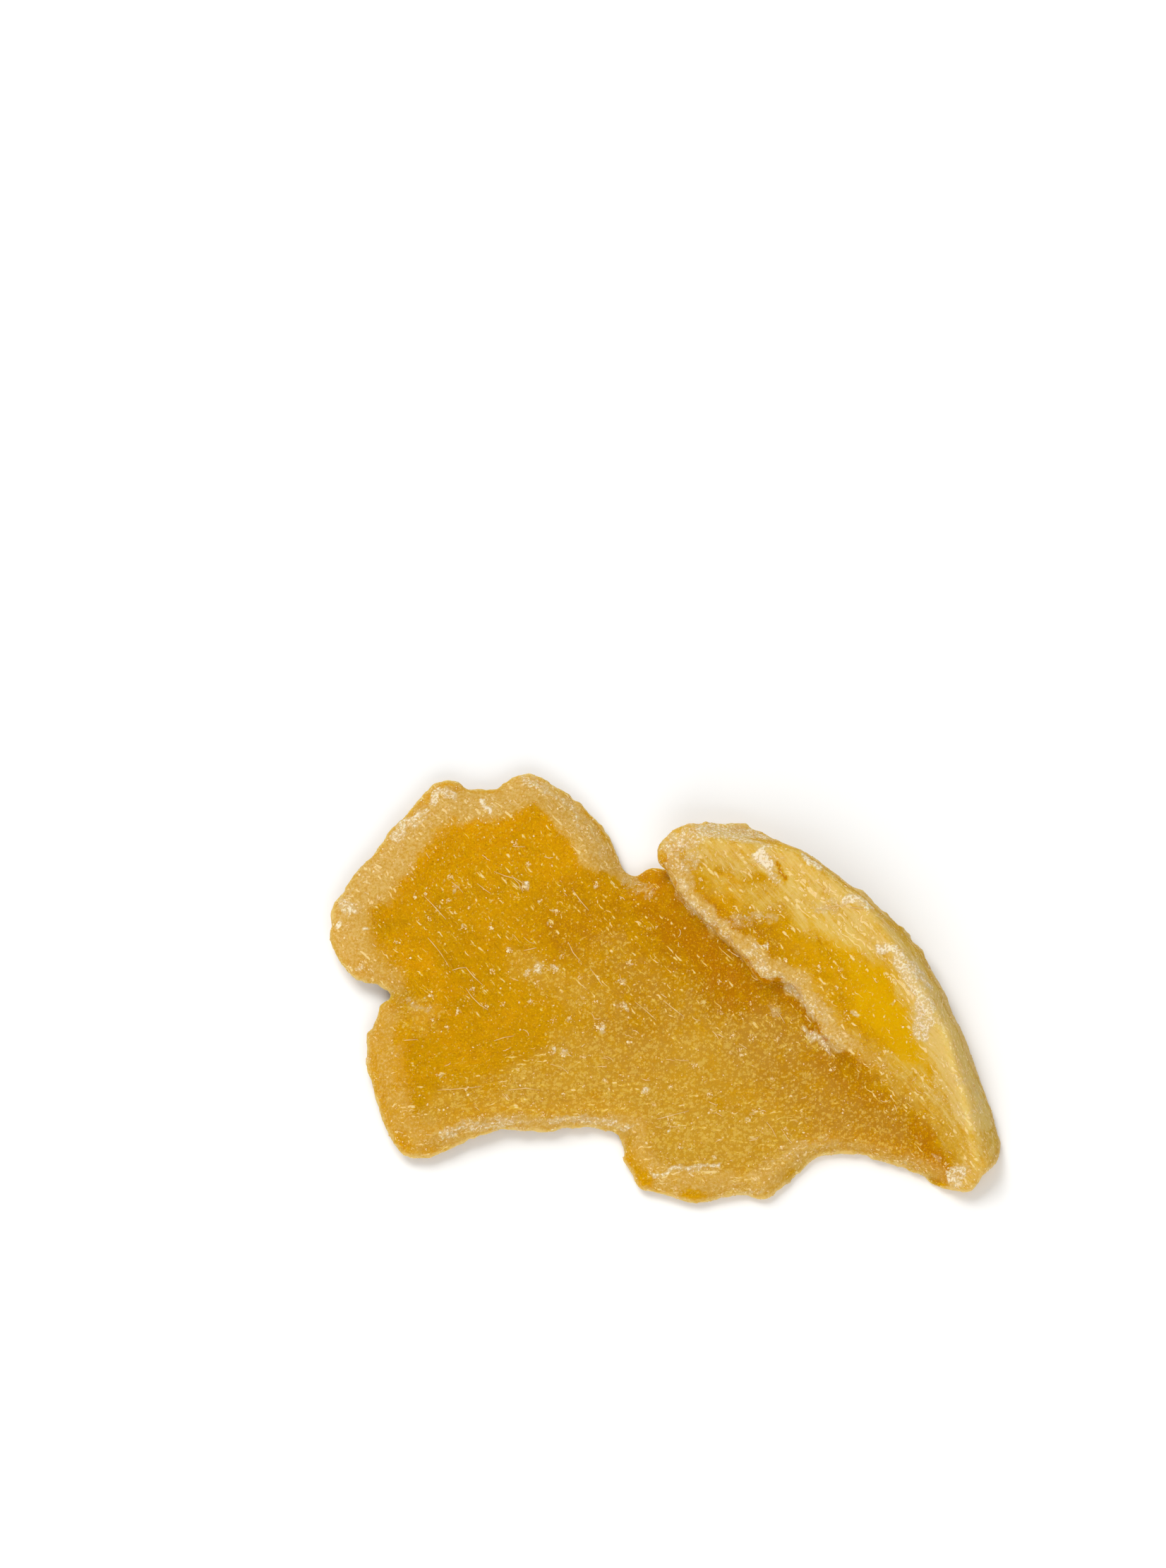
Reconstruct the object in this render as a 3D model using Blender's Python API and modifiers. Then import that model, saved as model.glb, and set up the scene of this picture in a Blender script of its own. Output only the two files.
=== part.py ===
"""A dried, sugared slice of ginger root that lies on its back.

The slice is one piece: a broad body, and a finger that grows from the body's lower right corner,
rises over the body's right edge and ends in a thick tip. Both start as flat plates cut to their
plan outline. Formulas then give them their thickness, slanted rim, curl and lumps, and a voxel
remesh grows them together at the root of the finger.

Lengths are in millimetres, and become metres where a mesh is made.
"""

import math

import bmesh
import bpy
import numpy as np
from mathutils import Vector, noise

MM = 0.001

# Driving dimensions
NAME = "ginger_slice"
PLATE = 3.0  # thickness of the flat plates that the formulas shape
PLATE_GRAIN = 0.6  # voxel of the plates
JOIN_GRAIN = 0.5  # voxel that grows body and finger together
TRIANGLES = 9400  # of the finished slice
SOFTEN = 0.5  # how strongly the joined skin is smoothed
SOFTEN_ROUNDS = 2

BODY_THICK = 3.1  # inside the rim
BODY_EDGE_THICK = 1.0  # at the outline, below the slanted rim
LIP = 0.3  # how far the inner corner of the rim stands over the face
LIP_WIDTH = 2.5
LIP_FADE = 2.0  # the outermost margin, over which the lip dies out
LEAST_SHARE = 0.35  # of its thickness that the body keeps where its waves dip to the table
LEAST_MARGIN = 1.0  # how far in from the outline that starts
CURL_WIDTH = 13.0  # the margin that curls up off the table
WAVE = 0.8  # broad waves of the whole sheet
WAVE_LENGTH = 17.0
LUMP = 0.16  # lumps of the upper faces
LUMP_LENGTH = 6.0
CRINKLE = 0.32  # how far the outline wanders in and out
CRINKLE_LENGTH = 2.6
CRINKLE_DEPTH = 2.5  # how far in from the outline the crinkle dies out
REST_DEPTH = 0.3  # cut off the lowest waves, so that the slice rests on flat spots
FLAT_BAND = 0.12  # anything lower than this is laid flat

FINGER_THICK = 3.4
FINGER_EDGE_THICK = 1.2
CREST_THICK = 5.2  # under the crest, where the finger is fattest
BACK_THICK = 1.6  # added half way down the skin side, behind the crest
EDGE_ROUND = 2.4  # how far in from its outline the finger reaches its full thickness
EDGE_DROP = 0.35  # how far the outline lies under the face

# Rim width and curl of the body's margin, by bearing round the body's middle in degrees
BODY_MIDDLE = (-12.0, -1.0)
RIM_BEARINGS = (0, 55, 85, 120, 160, 195, 228, 260, 285, 303, 318, 335)
RIM_WIDTHS = (1.8, 2.8, 4.0, 5.4, 5.6, 4.4, 2.4, 1.7, 2.0, 2.8, 1.8, 1.3)
CURL_BEARINGS = (0, 60, 110, 165, 215, 270, 320)
CURL_HEIGHTS = (0.0, 0.7, 2.4, 2.6, 1.6, 1.0, 0.4)

# The body's free edge, from its lower right corner along the bottom, up the left side, over the
# top and down the hidden right side to the bottom of the cleft
BODY_EDGE = (
    (36.5, -26.6), (32.2, -24.5), (25.9, -22.5), (22.5, -22.0), (19.6, -22.5), (17.2, -24.2),
    (13.3, -27.9), (10.4, -27.4), (7.6, -27.8), (3.9, -28.3), (-0.3, -27.3), (-2.8, -26.6),
    (-4.5, -24.3), (-5.4, -22.4), (-5.0, -20.0), (-6.8, -19.3), (-9.5, -18.6), (-16.2, -19.4),
    (-19.9, -19.0), (-23.5, -20.0), (-27.7, -22.0), (-30.6, -22.9), (-33.3, -22.0),
    (-35.3, -18.8), (-36.5, -15.2), (-37.6, -10.6), (-37.9, -6.9), (-36.6, -5.2),
    (-35.9, -2.6), (-33.0, -2.0), (-35.0, -0.8), (-37.5, -0.3), (-39.8, 1.0), (-42.3, 4.8),
    (-42.3, 8.9), (-41.5, 11.3), (-39.2, 14.4), (-36.5, 17.8), (-33.4, 21.5), (-30.6, 24.7),
    (-28.1, 26.8), (-25.2, 25.8), (-21.2, 25.6), (-19.4, 27.0), (-17.1, 27.5), (-14.2, 26.4),
    (-9.9, 23.2), (-7.0, 19.7), (-6.1, 17.4), (-4.0, 14.2), (-1.8, 15.4), (0.6, 15.2),
    (4.6, 12.6), (9.0, 8.2), (13.0, 3.6), (16.8, 0.4), (22.4, -5.6), (26.8, -9.8),
    (30.2, -13.4),
)
# Where the body runs on into the root of the finger
BODY_ROOT = ((32.0, -15.8), (35.5, -19.5), (37.5, -23.5))

# The finger's free edge, from the bottom of the cleft along its left rim to the tip, and back
# along its outer side to the lower right corner
FINGER_EDGE = (
    (29.7, -13.6), (26.4, -12.2), (24.0, -10.1), (22.1, -9.0), (20.1, -6.9), (18.1, -3.2),
    (17.1, -1.3), (15.0, 0.0), (12.8, -0.4), (11.1, 1.4), (9.3, 3.9), (6.8, 6.3), (3.3, 9.7),
    (1.5, 12.0), (0.5, 14.2), (-0.6, 15.1), (-0.5, 17.4), (2.4, 19.5), (4.7, 20.1),
    (8.5, 20.6), (11.5, 19.8), (13.8, 18.5), (18.8, 16.3), (22.6, 13.2), (26.1, 10.8),
    (30.2, 7.2), (33.6, 2.7), (37.5, -5.0), (39.2, -9.0), (41.0, -14.8), (42.6, -20.5),
    (42.2, -23.2), (40.3, -25.2), (39.2, -27.0), (36.5, -26.7),
)
# Where the finger runs on into the body
FINGER_ROOT = ((33.5, -25.5), (30.5, -21.5), (27.5, -17.0), (27.5, -14.5))

# The finger's length runs along this line, from 0 at the tip to 1 at the corner
FINGER_TIP = (0.5, 17.0)
FINGER_END = (37.0, -26.0)
# Stations along the finger, and at each: how far its left rim and its outer side lie across that
# line, where between them the crest runs, and the height of rim, crest and outer edge
STATIONS = (0.0, 0.2, 0.4, 0.55, 0.65, 0.75, 0.87, 1.0)
RIM_ACROSS = (-2.1, -2.3, -0.6, -0.3, 0.5, 2.4, 2.7, -0.8)
OUTER_ACROSS = (5.0, 13.2, 15.6, 16.0, 15.0, 13.6, 10.7, 7.5)
CREST_SHARE = (0.60, 0.86, 0.86, 0.76, 0.73, 0.68, 0.55, 0.5)
RIM_HEIGHT = (6.6, 6.2, 5.4, 4.9, 4.5, 3.8, 3.2, 2.8)
CREST_HEIGHT = (7.8, 8.8, 9.8, 10.6, 10.7, 9.8, 7.6, 4.8)
OUTER_HEIGHT = (5.2, 5.2, 4.4, 3.6, 3.0, 2.6, 2.1, 1.7)
SPOON = 1.2  # how hollow the cut face is between rim and crest, 0 for straight
BACK = 1.7  # how round the skin side is between crest and outer edge, 1 for straight
SINK = 9.0  # how steeply the finger dives into the body past its rim line
SINK_START, SINK_FULL = 0.7, 0.8  # the stations over which that dive sets in

# Each ripple reads a layer of the noise of its own
WAVE_LAYER = 3.7
BODY_LUMP_LAYER = 5.0
FINGER_LUMP_LAYER = 9.0
CRINKLE_LAYERS = (11.0, 29.0)

FLESH_COLOUR = (0.68, 0.36, 0.045, 1.0)
FLESH_ROUGHNESS = 0.55


def clear_scene():
    for obj in list(bpy.data.objects):
        bpy.data.objects.remove(obj, do_unlink=True)


def smooth_line(points, closed, steps=5):
    """A smooth curve through the points, as a dense polyline."""
    points = np.array(points, dtype=float)
    count = len(points)
    spans = count if closed else count - 1
    line = []
    for span in range(spans):
        near = [span - 1, span, span + 1, span + 2]
        near = [i % count for i in near] if closed else np.clip(near, 0, count - 1)
        before, start, end, after = points[near]
        for step in range(steps):
            t = step / steps
            line.append(
                start
                + 0.5 * t * (end - before)
                + t * t * (before - 2.5 * start + 2 * end - 0.5 * after)
                + t**3 * 0.5 * (after - before + 3 * (start - end))
            )
    if not closed:
        line.append(points[-1])
    return np.array(line)


def edge_distance(plan, line):
    """How far each point lies from an open polyline, in plan."""
    nearest = np.full(len(plan), np.inf)
    for start, end in zip(line[:-1], line[1:]):
        run = end - start
        share = np.clip((plan - start) @ run / (run @ run), 0, 1)
        gap = np.linalg.norm(plan - start - share[:, None] * run, axis=1)
        nearest = np.minimum(nearest, gap)
    return nearest


def ease(value, low, high):
    """0 below low, 1 above high, and a smooth step between."""
    share = np.clip((value - low) / (high - low), 0, 1)
    return share * share * (3 - 2 * share)


def ripple(points, length, layer=0.0):
    """Smooth noise between about -1 and 1, of the given wave length."""
    return np.array([noise.noise(Vector(p) / length + Vector((layer, 0, 0))) for p in points])


def mesh_of(obj):
    graph = bpy.context.evaluated_depsgraph_get()
    return bpy.data.meshes.new_from_object(obj.evaluated_get(graph))


def remeshed(name, mesh, grain):
    """The mesh as an even voxel surface."""
    obj = bpy.data.objects.new(name, mesh)
    bpy.context.scene.collection.objects.link(obj)
    remesh = obj.modifiers.new("Voxels", "REMESH")
    remesh.mode = "VOXEL"
    remesh.voxel_size = grain * MM
    result = mesh_of(obj)
    bpy.data.objects.remove(obj, do_unlink=True)
    return result


def plate(name, outline):
    """A flat plate of the outline, PLATE thick, with an even grain of vertices."""
    curve = bpy.data.curves.new(name, "CURVE")
    curve.dimensions = "2D"
    curve.fill_mode = "BOTH"
    curve.extrude = PLATE / 2 * MM
    spline = curve.splines.new("POLY")
    spline.points.add(len(outline) - 1)
    for point, (x, y) in zip(spline.points, outline):
        point.co = (x * MM, y * MM, 0, 1)
    spline.use_cyclic_u = True
    obj = bpy.data.objects.new(name, curve)
    bpy.context.scene.collection.objects.link(obj)
    mesh = mesh_of(obj)
    bpy.data.objects.remove(obj, do_unlink=True)
    welded = bmesh.new()
    welded.from_mesh(mesh)
    bmesh.ops.remove_doubles(welded, verts=welded.verts, dist=0.0001 * MM)
    welded.to_mesh(mesh)
    welded.free()
    return remeshed(name, mesh, PLATE_GRAIN)


def vertices(mesh):
    """The mesh's vertices in millimetres, one row each."""
    flat = np.empty(len(mesh.vertices) * 3)
    mesh.vertices.foreach_get("co", flat)
    return flat.reshape(-1, 3) / MM


def place_vertices(mesh, points):
    mesh.vertices.foreach_set("co", (points * MM).ravel())
    mesh.update()


def by_bearing(plan, bearings, values):
    """Values given by bearing round the body's middle, eased between the bearings."""
    off = plan - np.array(BODY_MIDDLE)
    bearing = np.degrees(np.arctan2(off[:, 1], off[:, 0])) % 360
    return np.interp(bearing, bearings, values, period=360)


def sheet_wave(plan):
    """The broad waves that body and finger share."""
    flat = np.column_stack([plan, np.zeros(len(plan))])
    return WAVE * ripple(flat, WAVE_LENGTH, WAVE_LAYER)


def crinkled(plan, inside):
    """The plan with its edge wandering in and out."""
    flat = np.column_stack([plan, np.zeros(len(plan))])
    reach = CRINKLE * (1 - ease(inside, 0, CRINKLE_DEPTH))
    across, along = [ripple(flat, CRINKLE_LENGTH, layer) for layer in CRINKLE_LAYERS]
    return plan + reach[:, None] * np.column_stack([across, along])


def shape_body(mesh):
    """Gives the body's plate its rim, lip, curl and waves."""
    points = vertices(mesh)
    plan = points[:, :2]
    level = np.clip(points[:, 2] / PLATE + 0.5, 0, 1)
    inside = edge_distance(plan, smooth_line(BODY_EDGE, closed=False))
    rim = by_bearing(plan, RIM_BEARINGS, RIM_WIDTHS)
    slant = np.clip(inside / rim, 0, 1)
    lip = LIP * (1 - ease(inside - rim, 0, LIP_WIDTH)) * ease(inside, 0, LIP_FADE)
    lumps = LUMP * ripple(np.column_stack([plan, plan[:, 0] * 0]), LUMP_LENGTH, BODY_LUMP_LAYER)
    thick = BODY_EDGE_THICK + (BODY_THICK - BODY_EDGE_THICK) * slant + lip + lumps
    curl = by_bearing(plan, CURL_BEARINGS, CURL_HEIGHTS)
    under = curl * (1 - ease(inside, 0, CURL_WIDTH)) + sheet_wave(plan) - REST_DEPTH
    least = LEAST_SHARE * level * BODY_THICK * (inside > LEAST_MARGIN)
    height = np.maximum(under + level * thick, least)
    points = np.column_stack([crinkled(plan, inside), np.maximum(height, 0)])
    place_vertices(mesh, points)


def finger_profile(plan):
    """The finger's upper and lower height at each point of its plan."""
    tip, end = np.array(FINGER_TIP), np.array(FINGER_END)
    length = np.linalg.norm(end - tip)
    ahead = (end - tip) / length
    side = np.array([-ahead[1], ahead[0]])
    station = np.clip((plan - tip) @ ahead / length, 0, 1)
    across = (plan - tip) @ side

    def at(values):
        return np.interp(station, STATIONS, values)

    share = (across - at(RIM_ACROSS)) / (at(OUTER_ACROSS) - at(RIM_ACROSS))
    crest = at(CREST_SHARE)
    rise = np.clip(share / crest, 0, 1)
    fall = np.clip((share - crest) / (1 - crest), 0, 1)
    face = (1 - SPOON) * rise + SPOON * rise**2
    upper = at(RIM_HEIGHT) + (at(CREST_HEIGHT) - at(RIM_HEIGHT)) * face
    upper = upper - (at(CREST_HEIGHT) - at(OUTER_HEIGHT)) * fall**BACK
    upper = upper + SINK * np.minimum(share, 0) * ease(station, SINK_START, SINK_FULL)
    thick = FINGER_THICK + (CREST_THICK - FINGER_THICK) * np.sin(rise * math.pi / 2) ** 2
    thick = thick + BACK_THICK * np.sin(fall * math.pi)
    return upper, thick


def shape_finger(mesh):
    """Lifts the finger's plate into its curled, hollow-faced shape."""
    points = vertices(mesh)
    plan = points[:, :2]
    level = np.clip(points[:, 2] / PLATE + 0.5, 0, 1)
    inside = edge_distance(plan, smooth_line(FINGER_EDGE, closed=False))
    upper, thick = finger_profile(plan)
    full = np.sqrt(1 - (1 - np.clip(inside / EDGE_ROUND, 0, 1)) ** 2)
    thick = FINGER_EDGE_THICK + (thick - FINGER_EDGE_THICK) * full
    lumps = LUMP * ripple(np.column_stack([plan, plan[:, 0] * 0]), LUMP_LENGTH, FINGER_LUMP_LAYER)
    upper = upper + sheet_wave(plan) + lumps - EDGE_DROP * (1 - full)
    height = upper - (1 - level) * thick
    points = np.column_stack([crinkled(plan, inside), np.maximum(height, 0)])
    place_vertices(mesh, points)


def drop_small_bodies(mesh):
    """Leaves only the largest body, without the small pockets closed in where the plates meet."""
    skin = bmesh.new()
    skin.from_mesh(mesh)
    unseen = set(skin.verts)
    bodies = []
    while unseen:
        body = {unseen.pop()}
        front = set(body)
        while front:
            front = {e.other_vert(v) for v in front for e in v.link_edges} & unseen
            unseen -= front
            body |= front
        bodies.append(body)
    largest = max(bodies, key=len)
    small = [v for v in skin.verts if v not in largest]
    bmesh.ops.delete(skin, geom=small, context="VERTS")
    skin.to_mesh(mesh)
    skin.free()


def grown_together(meshes):
    """One closed surface round all the meshes, softened and thinned out."""
    joined = bmesh.new()
    for mesh in meshes:
        joined.from_mesh(mesh)
    both = bpy.data.meshes.new("Joined")
    joined.to_mesh(both)
    joined.free()
    skin = remeshed("Skin", both, JOIN_GRAIN)
    drop_small_bodies(skin)
    obj = bpy.data.objects.new("Skin", skin)
    bpy.context.scene.collection.objects.link(obj)
    soften = obj.modifiers.new("Soften", "SMOOTH")
    soften.factor = SOFTEN
    soften.iterations = SOFTEN_ROUNDS
    thin = obj.modifiers.new("Thin out", "DECIMATE")
    thin.ratio = TRIANGLES / (2 * len(skin.polygons))
    thin.use_collapse_triangulate = True
    result = mesh_of(obj)
    bpy.data.objects.remove(obj, do_unlink=True)
    return result


def lay_down(mesh):
    """Flattens the lowest spots and puts the origin under the middle of the slice."""
    points = vertices(mesh)
    points[:, 2] -= points[:, 2].min()
    points[points[:, 2] < FLAT_BAND, 2] = 0
    middle = (points.min(0) + points.max(0)) / 2
    points[:, :2] -= middle[:2]
    place_vertices(mesh, points)


def flesh_material():
    material = bpy.data.materials.new("Sugared ginger flesh")
    material.use_nodes = True
    shader = material.node_tree.nodes["Principled BSDF"]
    shader.inputs["Base Color"].default_value = FLESH_COLOUR
    shader.inputs["Roughness"].default_value = FLESH_ROUGHNESS
    shader.inputs["Metallic"].default_value = 0.0
    return material


def build():
    clear_scene()
    body = plate("Body", smooth_line(BODY_EDGE + BODY_ROOT, closed=True))
    shape_body(body)
    finger = plate("Finger", smooth_line(FINGER_EDGE + FINGER_ROOT, closed=True))
    shape_finger(finger)
    mesh = grown_together([body, finger])
    lay_down(mesh)
    mesh.shade_smooth()
    mesh.materials.append(flesh_material())
    mesh.name = NAME
    collection = bpy.data.collections.new("Ginger slice")
    bpy.context.scene.collection.children.link(collection)
    collection.objects.link(bpy.data.objects.new(NAME, mesh))


build()
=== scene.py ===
# %% [markdown]
# Dried ginger, sliced and sugared
#
# This notebook dresses one slice of dried ginger root. The solid model gives its shape: a thin
# lobed body, and a finger that curls up and over the body's edge. Here it gets its fine surface:
# amber flesh that light passes into, the pale rim where the skin was, fibres, and a bloom of sugar.
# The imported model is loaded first, and nothing in it is moved.

# %% Load the frame
import math

import bpy
import numpy as np
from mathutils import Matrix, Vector, noise
from mathutils.bvhtree import BVHTree
from mathutils.kdtree import KDTree


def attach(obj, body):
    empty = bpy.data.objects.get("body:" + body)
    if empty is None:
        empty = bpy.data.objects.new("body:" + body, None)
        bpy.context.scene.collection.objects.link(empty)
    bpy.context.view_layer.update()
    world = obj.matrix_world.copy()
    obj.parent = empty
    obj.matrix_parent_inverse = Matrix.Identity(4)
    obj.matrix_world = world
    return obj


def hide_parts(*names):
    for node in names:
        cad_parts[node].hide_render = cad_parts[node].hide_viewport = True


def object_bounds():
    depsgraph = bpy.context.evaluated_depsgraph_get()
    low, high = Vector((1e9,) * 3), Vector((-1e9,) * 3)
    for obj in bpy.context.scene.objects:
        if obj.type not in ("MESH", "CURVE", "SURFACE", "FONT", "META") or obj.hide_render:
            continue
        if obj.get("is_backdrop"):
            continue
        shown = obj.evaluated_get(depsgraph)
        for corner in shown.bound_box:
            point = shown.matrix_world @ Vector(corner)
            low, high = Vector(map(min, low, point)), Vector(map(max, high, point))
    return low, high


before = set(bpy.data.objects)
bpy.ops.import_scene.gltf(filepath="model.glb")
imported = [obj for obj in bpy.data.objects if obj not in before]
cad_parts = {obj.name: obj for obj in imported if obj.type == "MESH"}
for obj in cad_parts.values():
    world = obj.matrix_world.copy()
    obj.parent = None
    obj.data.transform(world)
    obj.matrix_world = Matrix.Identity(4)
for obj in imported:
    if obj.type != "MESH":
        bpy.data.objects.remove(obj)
cad_low, cad_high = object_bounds()
MM = 0.001
print("CAD box in mm:", [round(side / MM, 1) for side in cad_high - cad_low])


# %% [markdown]
# The camera comes first, because features are placed where the photograph shows them. The slice
# leans on its back in the photograph and lies on its back here, so the camera looks down on it. A
# long lens from 0.9 m keeps its outline free of perspective. The camera is moved sideways in its
# own plane until the slice stands where the photograph has it, so no lens shift is needed.

# %% Camera
PHOTO_WIDTH, PHOTO_HEIGHT = 1652, 2222
PIXEL = 0.09 * MM  # what one pixel of the photograph measures at the slice
ORIGIN_PIXEL = np.array([940, 1403])  # where the middle of the slice's base shows
ELEVATION = math.radians(75)
DISTANCE = 0.9
SENSOR = 36.0

right = np.array([1.0, 0.0, 0.0])
up = np.array([0.0, math.sin(ELEVATION), math.cos(ELEVATION)])
back = np.array([0.0, -math.cos(ELEVATION), math.sin(ELEVATION)])
off_centre = (np.array([PHOTO_WIDTH, PHOTO_HEIGHT]) / 2 - ORIGIN_PIXEL) * PIXEL
eye = back * DISTANCE + right * off_centre[0] - up * off_centre[1]

camera_data = bpy.data.cameras.new("Camera")
camera_data.sensor_width = SENSOR
camera_data.lens = SENSOR * DISTANCE / (PHOTO_HEIGHT * PIXEL)
camera_data.clip_start = 0.05
camera = bpy.data.objects.new("Camera", camera_data)
camera.location = eye
camera.rotation_euler = (math.pi / 2 - ELEVATION, 0, 0)
bpy.context.scene.collection.objects.link(camera)
bpy.context.scene.camera = camera
print("lens in mm:", round(camera_data.lens, 1))


# %% Where a point of the slice shows in the photograph
def photo_pixels(points):
    offset = points - eye
    scale = DISTANCE / (offset @ -back) / PIXEL
    across = PHOTO_WIDTH / 2 + offset @ right * scale
    down = PHOTO_HEIGHT / 2 - offset @ up * scale
    return np.column_stack([across, down])


print("the base's middle shows at", photo_pixels(np.zeros((1, 3))).round(1))


# %% [markdown]
# The light is a pale studio: a bright room all round, one large soft lamp above and behind the
# slice to its left, and a weaker one in front. The lamp behind rakes over the fibres, shines into
# the raised finger and throws the short shadow at the near edge. Colours are shown without a film
# curve, so that a white floor stays white.

# %% Colours from hex
def colour(hex_code):
    """A linear colour from an sRGB hex code such as #C28C00."""
    parts = [int(hex_code[i : i + 2], 16) / 255 for i in (1, 3, 5)]
    return [p / 12.92 if p <= 0.04045 else ((p + 0.055) / 1.055) ** 2.4 for p in parts] + [1.0]


# %% One function that adds a node
def add(tree, kind, inputs=(), **settings):
    """Adds a node, sets its properties, and fills its inputs with values or with other outputs."""
    node = tree.nodes.new(kind)
    for name, value in settings.items():
        setattr(node, name, value)
    for name, value in dict(inputs).items():
        if isinstance(value, bpy.types.NodeSocket):
            tree.links.new(value, node.inputs[name])
        else:
            node.inputs[name].default_value = value
    return node


# %% Floor
FLOOR_SIDE = 4.0
FLOOR_DROP = 0.02 * MM  # keeps the floor clear of the flat spots that the slice lies on

bpy.ops.object.select_all(action="DESELECT")
bpy.ops.mesh.primitive_plane_add(size=FLOOR_SIDE, location=(0, 0, -FLOOR_DROP))
floor = bpy.context.active_object
floor.name = "floor"
floor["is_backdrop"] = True
paper = bpy.data.materials.new("white studio paper")
paper.use_nodes = True
paper_shader = paper.node_tree.nodes["Principled BSDF"]
paper_shader.inputs["Base Color"].default_value = colour("#F9F9F8")
paper_shader.inputs["Roughness"].default_value = 0.9
paper_shader.inputs["Specular IOR Level"].default_value = 0.1
floor.data.materials.append(paper)

# %% Lights
# (name, place, side of the lamp, watts)
LAMPS = (
    ("key", (-0.26, 0.38, 0.66), 0.45, 4.1),
    ("fill", (0.0, -0.60, 0.44), 0.7, 3.2),
)
ROOM_LIGHT = 0.42

for lamp_name, place, size, watts in LAMPS:
    lamp_data = bpy.data.lights.new(lamp_name, "AREA")
    lamp_data.size = size
    lamp_data.energy = watts
    lamp = bpy.data.objects.new(lamp_name, lamp_data)
    lamp.location = place
    lamp.rotation_euler = Vector(place).to_track_quat("Z", "Y").to_euler()
    bpy.context.scene.collection.objects.link(lamp)

world = bpy.data.worlds.new("pale room")
world.use_nodes = True
world.node_tree.nodes["Background"].inputs["Color"].default_value = colour("#FFFFFF")
world.node_tree.nodes["Background"].inputs["Strength"].default_value = ROOM_LIGHT
bpy.context.scene.world = world
bpy.context.scene.view_settings.view_transform = "Standard"


# %% [markdown]
# The slice itself starts as a copy of the solid model. Its triangles are loose, so they are merged
# first. A voxel remesh then lays an even skin of small quads over it, and smoothing takes the
# facets out. The even skin is what the fine relief and the painted masks need.

# %% Fine skin
SKIN_GRAIN = 0.31 * MM
MERGE_GAP = 0.001 * MM
SOFTENING = 0.5
SOFTENING_ROUNDS = 4

bpy.ops.object.select_all(action="DESELECT")
cad_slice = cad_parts["ginger_slice"]
ginger = bpy.data.objects.new("ginger_flesh", cad_slice.data.copy())
ginger.data.name = "ginger_flesh"
bpy.context.scene.collection.objects.link(ginger)
bpy.context.view_layer.objects.active = ginger
ginger.select_set(True)
bpy.ops.object.mode_set(mode="EDIT")
bpy.ops.mesh.select_all(action="SELECT")
bpy.ops.mesh.remove_doubles(threshold=MERGE_GAP)
bpy.ops.object.mode_set(mode="OBJECT")
remesh = ginger.modifiers.new("even skin", "REMESH")
remesh.mode = "VOXEL"
remesh.voxel_size = SKIN_GRAIN
bpy.ops.object.modifier_apply(modifier=remesh.name)
soften = ginger.modifiers.new("no facets", "SMOOTH")
soften.factor = SOFTENING
soften.iterations = SOFTENING_ROUNDS
bpy.ops.object.modifier_apply(modifier=soften.name)
ginger.data.materials.clear()
print("quads in the skin:", len(ginger.data.polygons))


# %% Reading the skin as arrays
def read(name):
    """The skin's vertex places or normals, one row each."""
    source = ginger.data.vertices if name == "co" else ginger.data.vertex_normals
    key = "co" if name == "co" else "vector"
    flat = np.empty(len(source) * 3)
    source.foreach_get(key, flat)
    return flat.reshape(-1, 3)


places = read("co")
normals = read("normal")
pixels = photo_pixels(places)
facing = normals @ back
print("vertices that face the camera:", int((facing > 0).sum()), "of", len(places))


# %% [markdown]
# Where the sugar lies and where the flesh is clear follows no rule, so it is painted, as a food
# stylist would note it from the photograph: each stroke is a line of named photograph pixels with
# a reach and a soft margin. A stroke becomes a number on each vertex of the skin that faces the
# camera, and the relief and the material read those numbers.

# %% Strokes
def ease(value, low, high):
    """A soft step from 0 at low to 1 at high."""
    share = np.clip((value - low) / (high - low), 0, 1)
    return share * share * (3 - 2 * share)


def away_from(line, spots):
    """How far each spot lies from a line of pixels."""
    line = np.array(line, dtype=float)
    if len(line) == 1:
        return np.linalg.norm(spots - line[0], axis=1)
    nearest = np.full(len(spots), np.inf)
    for start, end in zip(line[:-1], line[1:]):
        run = end - start
        share = np.clip((spots - start) @ run / (run @ run), 0, 1)
        nearest = np.minimum(nearest, np.linalg.norm(spots - start - share[:, None] * run, axis=1))
    return nearest


def ripple(points, size, layer):
    """Smooth noise between about -1 and 1. Its waves are size long, and each layer is another noise."""
    shift = Vector((layer, 2 * layer, 0))
    return np.array([noise.noise(Vector(p) / size + shift) for p in points])


# The sides of a stroke wander, by so many pixels and in waves of such a length
BROAD_WANDER, BROAD_WAVE = 9, 2.4 * MM
FINE_WANDER, FINE_WAVE = 5, 0.8 * MM
GRAZED, SEEN = 0.05, 0.35  # how far the skin faces the camera where strokes begin and are full

broad = np.column_stack([ripple(places, BROAD_WAVE, layer=1), ripple(places, BROAD_WAVE, layer=5)])
fine = np.column_stack([ripple(places, FINE_WAVE, layer=2), ripple(places, FINE_WAVE, layer=6)])
wobbly_pixels = pixels + BROAD_WANDER * broad + FINE_WANDER * fine
toward_camera = ease(facing, GRAZED, SEEN)


def painted(strokes):
    """The strongest of the strokes (strength, reach, soft margin, line) at each vertex."""
    paint = np.zeros(len(places))
    for strength, reach, margin, line in strokes:
        distance = away_from(line, wobbly_pixels)
        paint = np.maximum(paint, strength * (1 - ease(distance, reach, reach + margin)))
    return paint * toward_camera


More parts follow.
